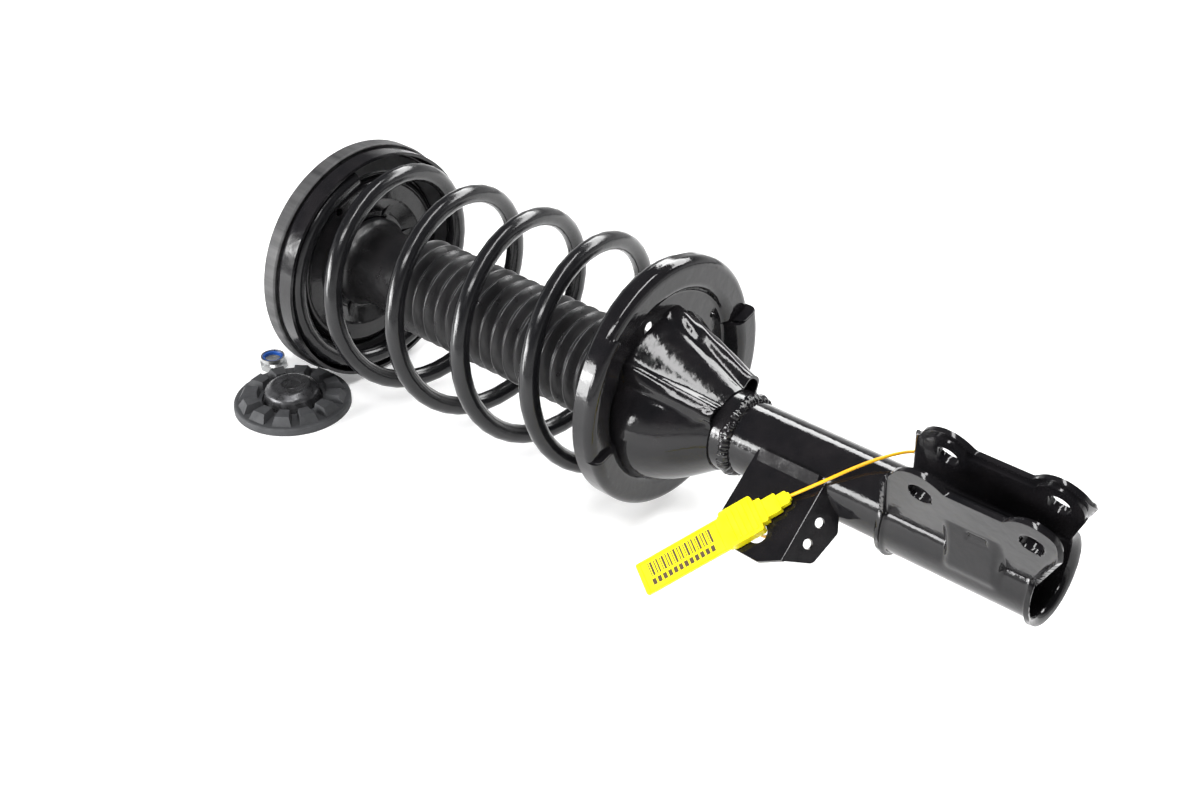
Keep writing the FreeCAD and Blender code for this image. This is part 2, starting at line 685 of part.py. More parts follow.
def strap_route():
    """The strap leaves the neck, goes over and round the tube and comes up through the plate."""
    start = tag_point(-35.5, 0, 5.2)
    end = hose_point(138, 46, 2.2)
    rel = [(165.5, -29.5, 17.5), (181, -14.5, 29.0), (194, 3, 34.5), (201, 19.5, 31.5), (204, 31.5, 18.5),
           (202, 34.5, 4.0), (194, 33, -9.5), (180, 28.5, -19.5), (163, 20.5, -27), (149, 8, -32),
           (141, -8, -34.5), (138, -25, -34.5), (138, -40, -32)]
    under = hose_point(138, 46, -9)
    return [start] + [V(SEAT_X + x, y, z) for x, y, z in rel] + [under, end]


def cord_tube(points, radius):
    """Round tube on straight runs joined by tangent arcs as large as the runs allow."""
    edges = []
    bends = []
    last = points[0]
    for i in range(1, len(points) - 1):
        into = points[i] - points[i - 1]
        out = points[i + 1] - points[i]
        turn = into.getAngle(out)
        cut = 0.45 * min(into.Length, out.Length)
        bend = cut / math.tan(turn / 2)
        bends.append(bend)
        into.normalize()
        out.normalize()
        first, final = points[i] - into * cut, points[i] + out * cut
        way = out - into
        way.normalize()
        top = points[i] + way * (bend / math.cos(turn / 2) - bend)
        edges.append(Part.LineSegment(last, first).toShape())
        edges.append(Part.Arc(first, top, final).toShape())
        last = final
    edges.append(Part.LineSegment(last, points[-1]).toShape())
    path = Part.Wire(edges)
    ring = Part.Wire(Part.makeCircle(radius, points[0], points[1] - points[0]))
    solid = path.makePipeShell([ring], True, True)
    swept = math.pi * radius ** 2 * path.Length
    print("cord: length %.1f, bend radii" % path.Length, [round(bend, 1) for bend in bends])
    print("cord: volume over section times length %.4f" % (solid.Volume / swept))
    return solid


# ---- loose hardware -----------------------------------------------------
def washer_rubber():
    """Rebound washer's rubber: a flat disc with a ring of lugs round the steel cup."""
    disc = Part.makeCylinder(46.0, 6, ORIGIN, V(0, 0, 1))
    disc = disc.makeFillet(2.0, [e for e in disc.Edges if abs(e.BoundBox.ZMin - 6) < 0.1
                                 and abs(e.BoundBox.ZMax - 6) < 0.1])
    lugs = []
    for i in range(12):
        wires = []
        for z, inner, outer, half in ((4, 26.4, 43.0, 5.6), (12.5, 27.4, 37.8, 3.8)):
            wide = half + (outer - inner) * math.tan(math.radians(9))
            points = [V(inner, -half, z), V(outer, -wide, z), V(outer, wide, z), V(inner, half, z)]
            wires.append(Part.makePolygon(points + [points[0]]))
        lug = Part.makeLoft(wires, True, True)
        lug.rotate(ORIGIN, V(0, 0, 1), 30 * i + 8)
        lugs.append(lug)
    body = fuse([disc] + lugs).cut(Part.makeCylinder(24.0, 30, V(0, 0, -1), V(0, 0, 1)))
    body.translate(WASHER_AT)
    return body


def washer_cup():
    """Pressed steel cup in the washer, with a hole for the rod's thread."""
    points, radii = sheet([(1.2, 24.0), (1.2, 22.0), (14, 20.0), (18, 15.0), (18, 7.75)], [0, 1.5, 4, 3, 0], 2.0)
    cup = turned(points, radii)
    cup.rotate(ORIGIN, V(0, 1, 0), -90)
    cup = cup.common(Part.makeCylinder(24.0, 40, V(0, 0, -1), V(0, 0, 1)))
    cup.translate(WASHER_AT)
    return cup


NUT_HEIGHT = 11.0


def loose_nut():
    """M14 locking nut standing on its flange face."""
    body = hexagon(21, 0, NUT_HEIGHT - 3.4, THREAD_R - 0.6, NUT_AT, V(0, 0, 1))
    crown = Part.makeCylinder(9.6, 3.6, NUT_AT + V(0, 0, NUT_HEIGHT - 3.6), V(0, 0, 1))
    crown = crown.cut(Part.makeCylinder(8.4, 6, NUT_AT + V(0, 0, NUT_HEIGHT - 4), V(0, 0, 1)))
    return body.fuse(crown)


def nut_insert():
    ring = Part.makeCylinder(8.4, 2.6, NUT_AT + V(0, 0, NUT_HEIGHT - 3.4), V(0, 0, 1))
    return ring.cut(Part.makeCylinder(THREAD_R - 0.4, 9, NUT_AT + V(0, 0, NUT_HEIGHT - 6), V(0, 0, 1)))


# ---- write every node ---------------------------------------------------
BALLS = 24


def nodes():
    yield "strut_tube", strut_tube()
    yield "base_cap", base_cap()
    yield "pressure_tube", tube(PRESSURE_R, PISTON_R, PRESSURE_START, PRESSURE_END)
    yield "base_valve", base_valve()
    yield "base_valve_shims", valve_shims(PRESSURE_END - 11, 5, 11, 3.2)
    yield "rod_guide", rod_guide()
    yield "rod_bushing", tube(13.0, ROD_R + 0.05, 278.5, 298.5)
    yield "rod_seal", rod_seal()
    yield "strike_cap", strike_cap()
    yield "lower_spring_seat", lower_spring_seat()
    yield "lower_spring_pad", lower_spring_pad()
    yield "seat_support", seat_support()
    yield "seat_weld", seat_weld()
    yield "knuckle_bracket", knuckle_bracket()
    yield "knuckle_liner", knuckle_liner()
    yield "brake_hose_bracket", brake_hose_bracket()
    yield "hose_bracket_weld", hose_weld()
    yield "coil_spring", coil_spring()
    yield "dust_boot", dust_boot()
    yield "seal_tag", seal_tag()
    yield "seal_strap", cord_tube(strap_route(), STRAP_R)
    yield "upper_spring_seat", upper_spring_seat()
    yield "upper_spring_pad", upper_spring_pad()
    yield "bearing_lower_race", bearing_race(False)
    yield "bearing_upper_race", bearing_race(True)
    yield "bearing_balls", bearing_balls(BALLS)
    yield "bearing_cage", bearing_cage(BALLS)
    yield "mount_insulator", mount_insulator()
    yield "mount_core", mount_core()
    yield "mount_plate", mount_plate()
    yield "locating_pin", locating_pin()
    yield "piston_rod", piston_rod()
    yield "rebound_stop", tube(14.2, ROD_R, 299.8, 307)
    yield "piston", piston()
    yield "piston_band", tube(PISTON_R - 0.05, PISTON_R - 2.0, PISTON_X + 3, PISTON_X + 11)
    yield "piston_shims", valve_shims(PISTON_X + 14, 5, 12, 6.1)
    yield "piston_nut", hexagon(17, PISTON_X + 16.6, 7, 6.0)
    yield "bump_stop", bump_stop()
    yield "washer_rubber", washer_rubber()
    yield "washer_cup", washer_cup()
    yield "loose_nut", loose_nut()
    yield "nut_insert", nut_insert()


os.makedirs("parts", exist_ok=True)
box = FreeCAD.BoundBox()
for node, body in nodes():
    box.add(save(node, body).BoundBox)
print("overall", [round(v, 1) for v in (box.XMin, box.XMax, box.YMin, box.YMax, box.ZMin, box.ZMax)])
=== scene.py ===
import bpy
import json
import math
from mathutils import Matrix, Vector, noise


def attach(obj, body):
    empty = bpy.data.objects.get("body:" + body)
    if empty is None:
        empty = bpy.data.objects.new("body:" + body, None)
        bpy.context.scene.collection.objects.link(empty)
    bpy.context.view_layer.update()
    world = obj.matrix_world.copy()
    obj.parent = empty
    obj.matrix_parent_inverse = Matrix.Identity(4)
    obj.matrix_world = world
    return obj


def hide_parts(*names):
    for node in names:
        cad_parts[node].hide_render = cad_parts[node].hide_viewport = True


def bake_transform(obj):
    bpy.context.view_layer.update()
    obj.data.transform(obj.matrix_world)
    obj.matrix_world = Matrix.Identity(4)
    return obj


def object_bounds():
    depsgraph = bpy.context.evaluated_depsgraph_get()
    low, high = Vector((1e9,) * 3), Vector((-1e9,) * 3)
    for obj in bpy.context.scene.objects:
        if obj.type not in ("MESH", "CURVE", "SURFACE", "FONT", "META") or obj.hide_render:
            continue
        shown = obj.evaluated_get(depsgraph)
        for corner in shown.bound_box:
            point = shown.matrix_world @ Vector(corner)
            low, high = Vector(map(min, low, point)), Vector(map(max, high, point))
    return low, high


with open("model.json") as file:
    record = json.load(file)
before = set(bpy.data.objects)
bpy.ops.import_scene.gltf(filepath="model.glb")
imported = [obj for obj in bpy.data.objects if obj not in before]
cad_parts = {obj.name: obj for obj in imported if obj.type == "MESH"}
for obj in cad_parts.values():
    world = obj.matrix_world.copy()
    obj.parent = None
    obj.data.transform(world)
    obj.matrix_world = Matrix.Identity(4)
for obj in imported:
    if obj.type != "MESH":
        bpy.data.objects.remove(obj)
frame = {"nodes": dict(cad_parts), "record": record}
cad_low, cad_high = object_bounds()

MM = 0.001
STRUT, UPPER = "strut_body", "upper_seat"

# ---- dimensions of the CAD model, in millimetres -------------------------
SEAT_X, SEAT_Y, SEAT_Z = 334.0, 8.0, 9.0     # rim edge of the lower seat, and its side-load offset
UPPER_RIM_END = 57.0
TUBE_R = 25.5
WELD_X = 415.5                               # middle of the bead round the support's collar
CLAMP_TURN = math.radians(24)                # the knuckle's ears, turned about the strut's axis
HOSE_TURN = math.radians(40)                 # the hose bracket, below the horizontal
HOSE_Y, HOSE_Z = -24, 9                      # root of the hose bracket's plate


# ---- camera -------------------------------------------------------------
def make_camera():
    """Long lens, looking down along the strut from the knuckle end."""
    data = bpy.data.cameras.new("camera")
    data.lens = 51.02
    data.sensor_width = 36.0
    data.clip_start = 0.05
    data.clip_end = 20.0
    camera = bpy.data.objects.new("camera", data)
    bpy.context.collection.objects.link(camera)
    camera.location = (0.96385, -0.77389, 0.64505)
    down, turn = math.radians(33.2), math.radians(41.2)
    camera.rotation_euler = (math.pi / 2 - down, 0, turn)
    bpy.context.scene.camera = camera


make_camera()


# ---- materials ----------------------------------------------------------
def grain(nodes, links, where, scale, detail, low, high):
    """Noise in metres of the row frame, spread between two values."""
    texture = nodes.new("ShaderNodeTexNoise")
    texture.inputs["Scale"].default_value = scale
    texture.inputs["Detail"].default_value = detail
    links.new(where, texture.inputs["Vector"])
    spread = nodes.new("ShaderNodeMapRange")
    spread.inputs["From Min"].default_value = 0.3
    spread.inputs["From Max"].default_value = 0.7
    spread.inputs["To Min"].default_value = low
    spread.inputs["To Max"].default_value = high
    links.new(texture.outputs["Fac"], spread.inputs["Value"])
    return spread.outputs["Result"]


def radial(nodes, links, where):
    """Direction away from the strut's axis, so that a texture made from it runs in radial streaks."""
    split = nodes.new("ShaderNodeSeparateXYZ")
    links.new(where, split.inputs[0])
    joined = nodes.new("ShaderNodeCombineXYZ")
    links.new(split.outputs["Y"], joined.inputs["Y"])
    links.new(split.outputs["Z"], joined.inputs["Z"])
    unit = nodes.new("ShaderNodeVectorMath")
    unit.operation = "NORMALIZE"
    links.new(joined.outputs[0], unit.inputs[0])
    return unit.outputs[0]


def surface(name, color, other, rough, metal=0.0, coat=0.0, patch=60, bump=(), subsurface=0.0, streaks=False,
            specular=0.5):
    """A finish: two colours in patches, roughness between two values, and layers of fine bump."""
    material = bpy.data.materials.new(name)
    material.use_nodes = True
    nodes, links = material.node_tree.nodes, material.node_tree.links
    shader = nodes["Principled BSDF"]
    where = nodes.new("ShaderNodeTexCoord").outputs["Object"]
    mix = nodes.new("ShaderNodeMix")
    mix.data_type = "RGBA"
    mix.inputs[6].default_value = (*color, 1)
    mix.inputs[7].default_value = (*other, 1)
    spread = radial(nodes, links, where) if streaks else where
    links.new(grain(nodes, links, spread, patch, 5, 0, 1), mix.inputs[0])
    links.new(mix.outputs[2], shader.inputs["Base Color"])
    links.new(grain(nodes, links, where, patch * 2.3, 6, *rough), shader.inputs["Roughness"])
    shader.inputs["Metallic"].default_value = metal
    shader.inputs["Specular IOR Level"].default_value = specular
    shader.inputs["Coat Weight"].default_value = coat
    shader.inputs["Coat Roughness"].default_value = 0.06
    shader.inputs["Subsurface Weight"].default_value = subsurface
    last = None
    for scale, distance in bump:
        layer = nodes.new("ShaderNodeBump")
        layer.inputs["Strength"].default_value = 1.0
        layer.inputs["Distance"].default_value = distance
        links.new(grain(nodes, links, where, scale, 3, 0, 1), layer.inputs["Height"])
        if last:
            links.new(last.outputs["Normal"], layer.inputs["Normal"])
        last = layer
    if last:
        links.new(last.outputs["Normal"], shader.inputs["Normal"])
    return material


BLACK, SOOT = (0.006, 0.006, 0.007), (0.012, 0.011, 0.012)
MATERIALS = {
    "gloss_black_enamel": surface("gloss_black_enamel", BLACK, SOOT, (0.05, 0.16), coat=0.05,
                                  bump=((130, 0.00008), (480, 0.00001)), specular=0.38),
    "seat_enamel": surface("seat_enamel", BLACK, SOOT, (0.1, 0.22), coat=0.05, bump=((150, 0.00006),),
                           specular=0.38),
    "spring_powder_coat": surface("spring_powder_coat", BLACK, (0.01, 0.01, 0.011), (0.14, 0.24), coat=0.05,
                                  bump=((420, 0.00002), (1400, 0.000008)), specular=0.4),
    "bright_steel": surface("bright_steel", (0.55, 0.55, 0.56), (0.4, 0.4, 0.41), (0.25, 0.4), metal=1.0),
    "spring_steel": surface("spring_steel", (0.4, 0.4, 0.42), (0.3, 0.3, 0.33), (0.3, 0.45), metal=1.0),
    "chrome_steel": surface("chrome_steel", (0.75, 0.75, 0.77), (0.7, 0.7, 0.72), (0.04, 0.09), metal=1.0),
    "hard_chrome": surface("hard_chrome", (0.7, 0.71, 0.73), (0.64, 0.65, 0.67), (0.05, 0.12), metal=1.0,
                           bump=((900, 0.000004),)),
    "sintered_steel": surface("sintered_steel", (0.28, 0.28, 0.29), (0.2, 0.2, 0.2), (0.5, 0.65), metal=1.0,
                              bump=((2500, 0.00003),)),
    "bronze_liner": surface("bronze_liner", (0.45, 0.3, 0.15), (0.35, 0.22, 0.1), (0.35, 0.5), metal=1.0),
    "zinc_plate": surface("zinc_plate", (0.52, 0.52, 0.5), (0.4, 0.41, 0.42), (0.22, 0.42), metal=1.0,
                          bump=((700, 0.00001),)),
    "seal_rubber": surface("seal_rubber", (0.02, 0.02, 0.02), (0.03, 0.03, 0.03), (0.5, 0.65)),
    "pad_rubber": surface("pad_rubber", (0.016, 0.016, 0.017), (0.028, 0.028, 0.03), (0.6, 0.8),
                          bump=((1500, 0.00004),)),
    "boot_rubber": surface("boot_rubber", (0.009, 0.009, 0.010), (0.016, 0.015, 0.016), (0.26, 0.42),
                           bump=((900, 0.00002), (180, 0.00006))),
    "mount_rubber": surface("mount_rubber", (0.02, 0.02, 0.021), (0.07, 0.069, 0.07), (0.5, 0.75), patch=14,
                            bump=((1100, 0.00006), (260, 0.0001)), streaks=True),
    "washer_rubber": surface("washer_rubber", (0.03, 0.031, 0.033), (0.055, 0.056, 0.06), (0.6, 0.8),
                             bump=((1300, 0.00005), (300, 0.00008))),
    "washer_enamel": surface("washer_enamel", (0.04, 0.04, 0.042), (0.1, 0.1, 0.105), (0.22, 0.4),
                             metal=0.6, patch=140, bump=((600, 0.00003),)),
    "bump_foam": surface("bump_foam", (0.55, 0.49, 0.36), (0.45, 0.4, 0.3), (0.8, 0.95),
                         bump=((900, 0.0002),)),
    "cage_plastic": surface("cage_plastic", (0.12, 0.1, 0.08), (0.08, 0.07, 0.06), (0.4, 0.55)),
    "ptfe_band": surface("ptfe_band", (0.2, 0.12, 0.06), (0.15, 0.09, 0.05), (0.4, 0.5)),
    "yellow_plastic": surface("yellow_plastic", (0.95, 0.83, 0.006), (0.9, 0.75, 0.004), (0.3, 0.42),
                              subsurface=0.05, bump=((700, 0.00002),)),
    "orange_plastic": surface("orange_plastic", (0.95, 0.5, 0.006), (0.9, 0.42, 0.004), (0.28, 0.4),
                              subsurface=0.05),
    "blue_nylon": surface("blue_nylon", (0.015, 0.1, 0.42), (0.012, 0.07, 0.33), (0.3, 0.42)),
    "ink": surface("ink", (0.05, 0.03, 0.012), (0.09, 0.05, 0.02), (0.5, 0.7)),
}
SLOT_OF = {part["node"]: part["material_slot"] for part in frame["record"]["subparts"]}


def paint_cad_nodes():
    """Give every CAD node the finish of its material slot."""
    for node, obj in frame["nodes"].items():
        for holder in obj.material_slots:
            holder.link = "OBJECT"
            holder.material = MATERIALS[SLOT_OF[node]]


# How wide each node's edges are rounded, in millimetres.
ROUNDED = {"lower_spring_seat": 0.9, "brake_hose_bracket": 0.6, "knuckle_liner": 0.6,
           "washer_cup": 0.4, "washer_rubber": 0.6, "loose_nut": 0.4, "strike_cap": 0.3, "seal_tag": 0.7,
           "mount_core": 0.4, "locating_pin": 0.3, "upper_spring_seat": 0.5}


def round_edges():
    """Small rounds on the pressed and moulded edges, so that they catch the light."""
    for node, width in ROUNDED.items():
        obj = frame["nodes"][node]
        bevel = obj.modifiers.new("rounded", "BEVEL")
        bevel.width = width * MM
        bevel.segments = 3
        bevel.limit_method = "ANGLE"
        bevel.angle_limit = math.radians(40)
        bevel.harden_normals = True


# ---- mesh helpers -------------------------------------------------------
def piece(name, verts, faces, slot, body, *nodes, smooth=45):
    """A mesh in millimetres of the row frame, which rides a body and stands for CAD nodes.
    """
    mesh = bpy.data.meshes.new(name)
    mesh.from_pydata([Vector(v) * MM for v in verts], [], faces)
    mesh.validate()
    mesh.materials.append(MATERIALS[slot])
    mesh.shade_smooth()
    mesh.set_sharp_from_angle(angle=math.radians(smooth))
    obj = bpy.data.objects.new(name, mesh)
    bpy.context.collection.objects.link(obj)
    if body:
        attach(obj, body)
    if nodes:
        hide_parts(*nodes)
    return obj


def grid_faces(rows, columns, wrap_rows=False, wrap_columns=True):
    """Quads over a grid of vertices stored row by row, closed on itself where it wraps."""
    faces = []
    for i in range(rows if wrap_rows else rows - 1):
        for j in range(columns if wrap_columns else columns - 1):
            k, m = (i + 1) % rows, (j + 1) % columns
            faces.append((i * columns + j, k * columns + j, k * columns + m, i * columns + m))
    return faces


def polar(radius, degrees, x=0.0, y=0.0, z=0.0):
    a = math.radians(degrees)
    return Vector((x, y + radius * math.cos(a), z + radius * math.sin(a)))


def between(share, first, last):
    return first + (last - first) * share


# ---- seal strap ---------------------------------------------------------
STRAP_DIAMETER, STRAP_LENGTH = 0.0022, 0.266
STRAP_ROUTE = [
    (0.48156, -0.03938, 0.00288), (0.4995, -0.0295, 0.0175), (0.515, -0.0145, 0.029), (0.528, 0.003, 0.0345),
    (0.535, 0.0195, 0.0315), (0.538, 0.0315, 0.0185), (0.536, 0.0345, 0.004), (0.528, 0.033, -0.0095),
    (0.514, 0.0285, -0.0195), (0.497, 0.0205, -0.027), (0.483, 0.008, -0.032), (0.475, -0.008, -0.0345),
    (0.472, -0.025, -0.0345), (0.472, -0.04, -0.032), (0.472, -0.05345, -0.02746),
    (0.472, -0.06065, -0.01888)]


def seal_strap():
    """Nylon strap from the seal's neck, over and round the tube, and up through the hose bracket's hole."""
    curve = bpy.data.curves.new("strap", "CURVE")
    curve.dimensions = "3D"
    spline = curve.splines.new("NURBS")
    spline.points.add(len(STRAP_ROUTE) - 1)
    for point, place in zip(spline.points, STRAP_ROUTE):
        point.co = (*place, 1)
    spline.order_u = 3
    spline.use_endpoint_u = True
    spline.resolution_u = 16
    curve.bevel_depth = STRAP_DIAMETER / 2
    curve.bevel_resolution = 5
    curve.use_fill_caps = True
    strap = bpy.data.objects.new("strap", curve)
    bpy.context.collection.objects.link(strap)
    curve.materials.append(MATERIALS["orange_plastic"])
    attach(strap, STRUT)
    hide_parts("seal_strap")


# ---- print and ribs on the seal -----------------------------------------
def hose_point(x, out, above):
    """A point by its distance past the seat, out from the tube and above the hose bracket's plate."""
    y = HOSE_Y - math.cos(HOSE_TURN) * out - math.sin(HOSE_TURN) * above
    z = HOSE_Z - math.sin(HOSE_TURN) * out + math.cos(HOSE_TURN) * above
    return Vector((SEAT_X + x, y, z))


TAG_X, TAG_OUT = 127.5, 45                   # middle of the seal's locking head
TAG_LONG, TAG_WIDE = (-0.565, 0.825), (0.825, 0.565)
FLAG_TOP, HEAD_TOP, SUNK = 5.0, 9.0, 0.1     # details start a little inside the seal


def tag_point(along, wide, above):
    """A point by its place along and across the seal, and above the hose bracket's plate."""
    x = TAG_X + TAG_LONG[0] * along + TAG_WIDE[0] * wide
    out = TAG_OUT + TAG_LONG[1] * along + TAG_WIDE[1] * wide
    return hose_point(x, out, above)


BLOCK_FACES = ((3, 2, 1, 0), (4, 5, 6, 7), (0, 1, 5, 4), (1, 2, 6, 5), (2, 3, 7, 6), (3, 0, 4, 7))


def tag_blocks(name, blocks, surface_above, rise, slot):
    """Small flat blocks on the seal, each given by its lengthwise and crosswise ranges."""
    verts, faces = [], []
    for low, high, near, far in blocks:
        first = len(verts)
        for above in (surface_above - SUNK, surface_above + rise):
            for along, wide in ((low, near), (high, near), (high, far), (low, far)):
                verts.append(tag_point(along, wide, above))
        for face in BLOCK_FACES:
            faces.append(tuple(first + corner for corner in face))
    return piece(name, verts, faces, slot, STRUT)


def seal_details():
    """Plain dark bars where the print is, a moulded frame round them and ribs on the locking head."""
    thin_bars = (1.4, 0.5, 1.0, 0.7)
    bars = []
    for i in range(22):
        start = 22 + 2.2 * i
        bars.append((start, start + thin_bars[i % 4], -8.2, 1.5))
    for i in range(12):
        start = 23 + 4.0 * i
        bars.append((start, start + 2.6, 3.4, 7.6))
    tag_blocks("seal_print", bars, FLAG_TOP, 0.06, "ink")
    low, high, side, edge = 17, 74.5, 10, 0.8
    border = [(low, high, -side - edge, -side), (low, high, side, side + edge),
              (low, low + edge, -side, side), (high - edge, high, -side, side)]
    tag_blocks("seal_frame", border, FLAG_TOP, 0.5, "yellow_plastic")
    ribs = [(-9 + 4 * i, -7.2 + 4 * i, -10.5, 10.5) for i in range(5)]
    tag_blocks("seal_ribs", ribs, HEAD_TOP, 0.6, "yellow_plastic")


# ---- knuckle bracket ----------------------------------------------------
EAR, WRAP_R, CLAMP_SHEET = 16.6, 27.1, 3.2   # the middle of the sheet, and how thick it is
CLAMP_START, CLAMP_END = 541.0, 646.0
CLAMP_LENGTH = CLAMP_END - CLAMP_START
EAR_START, EAR_END = 549.2, 667.0            # ends of an ear's upper edge
EAR_FOOT = math.sqrt(WRAP_R ** 2 - EAR ** 2)
BOLTS, BOLT_H, BOLT_R, LOBE_R, VALLEY = (573.7, 647.5), 63.7, 8.1, 19.5, 10.3
HOLE_SNAP = 0.75                             # grid points this near a hole's edge move onto it
CURL = ((0.0, 4.4), (0.25, 2.9), (0.9, 1.3), (2.2, 0.35), (4.0, 0.0))   # turned-out end: inwards, out
EAR_ROWS, WRAP_ROWS, MIDDLE_COLUMNS = 52, 72, 84


def clamp_point(x, across, height):
    """A point by its place along the strut, across the clamp and up between its ears."""
    y = across * math.cos(CLAMP_TURN) - height * math.sin(CLAMP_TURN)
    z = across * math.sin(CLAMP_TURN) + height * math.cos(CLAMP_TURN)
    return Vector((x, y, z))


def ear_top(x):
    """Height of an ear's edge: a round lobe over each bolt, and a shallow valley between them."""
    rise = VALLEY * min(max((x - EAR_START) / 8, 0), 1) * min(max((EAR_END - x) / 4, 0), 1)
    total = rise ** 6
    for bolt in BOLTS:
        total += max(LOBE_R ** 2 - (x - bolt) ** 2, 0) ** 3
    return BOLT_H + total ** (1 / 6)


def smooth_step(value, low, high):
    u = min(max((value - low) / (high - low), 0.0), 1.0)
    return u * u * (3 - 2 * u)


def near_face(x, height, across):
    """Pressed boss that bridges the near ear and the wrap, with a small louvre in it."""
    inside = smooth_step(x, 586, 592) * (1 - smooth_step(x, 621, 627))
    slope = EAR + 9.6 * min(max((47 - height) / 35, 0), 1)
    if height > 6:
        across = between(inside, across, max(across, slope))
    louvre = smooth_step(x, 602.5, 604) * (1 - smooth_step(x, 616, 617.5))
    louvre *= smooth_step(height, 38.5, 40) * (1 - smooth_step(height, 43.5, 45.5))
    return across - 1.6 * louvre


def clamp_columns():
    """Distances from the clamp's start, each with how far the sheet is turned out there."""
    reach = CURL[-1][0]
    step = (CLAMP_LENGTH - 2 * reach) / MIDDLE_COLUMNS
    middle = [(reach + step * i, 0.0) for i in range(1, MIDDLE_COLUMNS)]
    end = [(CLAMP_LENGTH - inwards, out) for inwards, out in reversed(CURL)]
    return list(CURL) + middle + end


def wrap_place(row, inwards, curl):
    """Place on the wrap round the tube, from the near ear's foot under the tube to the far one's."""
    first_turn = math.atan2(EAR_FOOT, -EAR)
    last_turn = 2 * math.pi + math.atan2(EAR_FOOT, EAR)
    a = between(row / (WRAP_ROWS - 1), first_turn, last_turn)
    x = CLAMP_START + inwards
    across, height = (WRAP_R + curl) * math.cos(a), (WRAP_R + curl) * math.sin(a)
    if across < 0:
        across = -near_face(x, height, -across)
    return x, across, height


def ear_place(side, rise, inwards, curl):
    """Place on an ear, where rise goes from 0 at its foot to 1 at its scalloped edge."""
    edge_x = between(inwards / CLAMP_LENGTH, EAR_START, EAR_END)
    height = between(rise, EAR_FOOT, ear_top(edge_x))
    x = between(rise, CLAMP_START + inwards, edge_x)
    across = near_face(x, height, EAR) if side < 0 else EAR
    return x, side * (across + curl), height


def round_hole(x, height):
    """Move a place near a bolt hole's edge onto it, and say whether it was well inside the hole."""
    inside = False
    for bolt in BOLTS:
        off = Vector((x - bolt, height - BOLT_H))
        if off.length < BOLT_R + HOLE_SNAP:
            inside = off.length < BOLT_R - HOLE_SNAP
            off = off.normalized() * BOLT_R
            x, height = bolt + off.x, BOLT_H + off.y
    return x, height, inside


def knuckle_bracket():
    """Sheet pressed round the tube: two scalloped ears, turned-out ends and a boss on the near side."""
    columns = clamp_columns()
    rows = 2 * EAR_ROWS + WRAP_ROWS
    verts, holes = [], set()
    for row in range(rows):
        for inwards, curl in columns:
            if EAR_ROWS <= row < EAR_ROWS + WRAP_ROWS:
                x, across, height = wrap_place(row - EAR_ROWS, inwards, curl)
            else:
                side = -1 if row < EAR_ROWS else 1
                from_edge = min(row, rows - 1 - row)
                x, across, height = ear_place(side, 1 - from_edge / EAR_ROWS, inwards, curl)
                x, height, inside = round_hole(x, height)
                if inside:
                    holes.add(len(verts))
            verts.append(clamp_point(x, across, height))
    faces = grid_faces(rows, len(columns), wrap_columns=False)
    faces = [face for face in faces if not holes.intersection(face)]
    bracket = piece("clamp_bracket", verts, faces, "gloss_black_enamel", STRUT, "knuckle_bracket", smooth=50)
    solid = bracket.modifiers.new("sheet", "SOLIDIFY")
    solid.thickness = CLAMP_SHEET * MM
    solid.offset = 0
    edge = bracket.modifiers.new("edge", "BEVEL")
    edge.width = 0.6 * MM
    edge.segments = 3
    edge.limit_method = "ANGLE"
    edge.angle_limit = math.radians(55)


# ---- weld round the support's collar ------------------------------------
def seat_weld():
    """Rough bead with overlapping ripples."""
    around, across, ripples = 320, 12, 27
    verts = []
    for i in range(around):
        degrees = 360 * i / around
        shift = 3 * noise.noise(Vector((degrees * 0.08, 0, 0)))
        ripple = abs(math.sin(math.radians(degrees) * ripples + shift))
        for k in range(across):
            a = math.pi * k / (across - 1)
            lump = noise.noise(Vector((degrees * 0.11, k * 0.5, 3)))
            rise = 3.4 + 0.4 * ripple + 1.3 * lump
            x = WELD_X + 0.9 * ripple + (5.0 + 0.8 * lump) * math.cos(a)
            verts.append(polar(TUBE_R - 0.1 + rise * math.sin(a), degrees, x))
    faces = grid_faces(around, across, wrap_rows=True, wrap_columns=False)
    piece("support_weld", verts, faces, "gloss_black_enamel", STRUT, "seat_weld", smooth=50)


# ---- coil spring --------------------------------------------------------
WIRE_R, SPRING_R, SPRING_PITCH = 7.0, 80.0, 64.85
SPRING_FIRST_TURN, SPRING_LAST_TURN, TURN_ZERO = 0.1, 5.86, math.radians(63.8)
UPPER_END_PITCH, LOWER_END_PITCH = 2.0, 14.0


def eased(turn, start, width):
    """Integral of a ramp from 0 to 1 that starts at start and takes width turns."""
    u = min(max((turn - start) / width, 0.0), 1.0)
    return width * u * u / 2 + max(turn - start - width, 0.0)


def spring_point(turn):
    """Centre of the wire: an even pitch between two closed ends."""
    x = SEAT_X - 327.6 + SPRING_PITCH * turn
    x -= (SPRING_PITCH - LOWER_END_PITCH) * eased(turn, 4.7, 0.6)
    x += (SPRING_PITCH - UPPER_END_PITCH) * eased(-turn, -0.95, 0.5)
    share = (x - UPPER_RIM_END) / (SEAT_X - UPPER_RIM_END)
    a = TURN_ZERO + 2 * math.pi * turn
    return Vector((x, SEAT_Y * share + SPRING_R * math.cos(a), SEAT_Z * share + SPRING_R * math.sin(a)))


